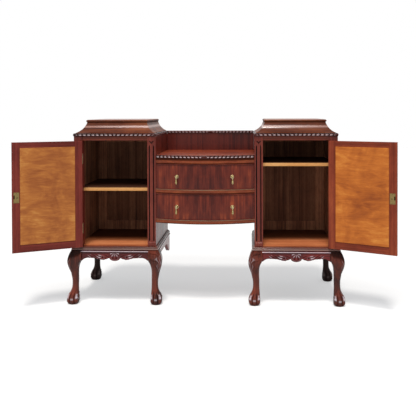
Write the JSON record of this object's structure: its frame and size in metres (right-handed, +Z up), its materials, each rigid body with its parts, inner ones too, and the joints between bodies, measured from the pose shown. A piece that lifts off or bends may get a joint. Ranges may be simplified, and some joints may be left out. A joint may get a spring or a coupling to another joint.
{
  "type": "pedestal sideboard",
  "caption": "Pedestal sideboard: cupboards with coved tops and hinged doors on carved cabriole legs, joined by a lower bowed section with drawers and brass drop pulls.",
  "frame": {"origin": "middle of the footprint on the floor, measured with both doors standing open as modelled", "axes": "+Z up, the front faces -Y, +X to the right of someone who faces the front"},
  "size_m": [2.2382, 0.7026, 1.127],
  "materials": {
    "mahogany": "polished, worn to satin",
    "carved_mahogany": "polished carving with dark hollows",
    "flame_mahogany": "figured veneer, polished",
    "golden_veneer": "golden figured veneer, satin",
    "inside_wood": "stained, unpolished",
    "shelf_wood": "plain, unpolished",
    "aged_brass": "aged, dull"
  },
  "bodies": {
    "carcass": {"left_cap": "mahogany", "left_frieze_rail": "mahogany", "left_post_inner": "mahogany", "left_post_outer": "mahogany", "left_side_inner": "mahogany", "left_side_outer": "mahogany", "left_back_panel": "inside_wood", "left_base_board": "mahogany", "left_shelf": "shelf_wood", "left_apron_front": "carved_mahogany", "left_apron_outer": "carved_mahogany", "left_apron_inner": "carved_mahogany", "left_leg_front_inner": "carved_mahogany", "left_leg_front_outer": "carved_mahogany", "left_leg_back_outer": "carved_mahogany", "left_hinge_lower": "aged_brass", "left_hinge_upper": "aged_brass", "right_cap": "mahogany", "right_frieze_rail": "mahogany", "right_post_inner": "mahogany", "right_post_outer": "mahogany", "right_side_inner": "mahogany", "right_side_outer": "mahogany", "right_back_panel": "inside_wood", "right_base_board": "mahogany", "right_shelf": "shelf_wood", "right_apron_front": "carved_mahogany", "right_apron_outer": "carved_mahogany", "right_apron_inner": "carved_mahogany", "right_leg_front_inner": "carved_mahogany", "right_leg_front_outer": "carved_mahogany", "right_leg_back_outer": "carved_mahogany", "right_hinge_lower": "aged_brass", "right_hinge_upper": "aged_brass", "centre_top": "mahogany", "splashback": "mahogany", "centre_top_rail": "mahogany", "centre_mid_rail": "mahogany", "centre_bottom_rail": "mahogany", "centre_back": "inside_wood"},
    "left_door": {"left_door_frame": "mahogany", "left_door_panel": "golden_veneer", "left_door_lock": "aged_brass"},
    "left_bolt": {"left_door_bolt": "aged_brass"},
    "right_door": {"right_door_frame": "mahogany", "right_door_panel": "golden_veneer", "right_door_lock": "aged_brass"},
    "right_bolt": {"right_door_bolt": "aged_brass"},
    "upper_drawer": {"upper_drawer_front": "flame_mahogany", "upper_drawer_box": "inside_wood", "upper_left_rose": "aged_brass", "upper_right_rose": "aged_brass"},
    "lower_drawer": {"lower_drawer_front": "flame_mahogany", "lower_drawer_box": "inside_wood", "lower_left_rose": "aged_brass", "lower_right_rose": "aged_brass"},
    "upper_left_pull": {"upper_left_drop": "aged_brass"},
    "upper_right_pull": {"upper_right_drop": "aged_brass"},
    "lower_left_pull": {"lower_left_drop": "aged_brass"},
    "lower_right_pull": {"lower_right_drop": "aged_brass"}
  },
  "joints": [
    {"name": "left_door_swing", "type": "hinge", "parent": "carcass", "child": "left_door", "pos_m": [-0.75302, -0.16674, 0.6745], "axis": [0, 0, -1], "range_deg": [-156.9, 13]},
    {"name": "right_door_swing", "type": "hinge", "parent": "carcass", "child": "right_door", "pos_m": [0.75548, -0.16674, 0.6745], "axis": [0, 0, 1], "range_deg": [-156, 14]},
    {"name": "left_bolt_throw", "type": "slide", "parent": "left_door", "child": "left_bolt", "axis": [-0.9198, -0.3923, 0], "range_m": [0, 0.008]},
    {"name": "right_bolt_throw", "type": "slide", "parent": "right_door", "child": "right_bolt", "axis": [0.9135, -0.4067, 0], "range_m": [0, 0.008]},
    {"name": "upper_drawer_slide", "type": "slide", "parent": "carcass", "child": "upper_drawer", "axis": [0, -1, 0], "range_m": [0, 0.3]},
    {"name": "lower_drawer_slide", "type": "slide", "parent": "carcass", "child": "lower_drawer", "axis": [0, -1, 0], "range_m": [0, 0.3]},
    {"name": "upper_left_pull_lift", "type": "hinge", "parent": "upper_drawer", "child": "upper_left_pull", "pos_m": [-0.16913, -0.20717, 0.7825], "axis": [-0.9806, 0.1961, 0], "range_deg": [-4, 85]},
    {"name": "upper_right_pull_lift", "type": "hinge", "parent": "upper_drawer", "child": "upper_right_pull", "pos_m": [0.17158, -0.20717, 0.7825], "axis": [-0.9806, -0.1961, 0], "range_deg": [-4, 85]},
    {"name": "lower_left_pull_lift", "type": "hinge", "parent": "lower_drawer", "child": "lower_left_pull", "pos_m": [-0.16913, -0.20717, 0.6005], "axis": [-0.9806, 0.1961, 0], "range_deg": [-4, 85]},
    {"name": "lower_right_pull_lift", "type": "hinge", "parent": "lower_drawer", "child": "lower_right_pull", "pos_m": [0.17158, -0.20717, 0.6005], "axis": [-0.9806, -0.1961, 0], "range_deg": [-4, 85]}
  ]
}
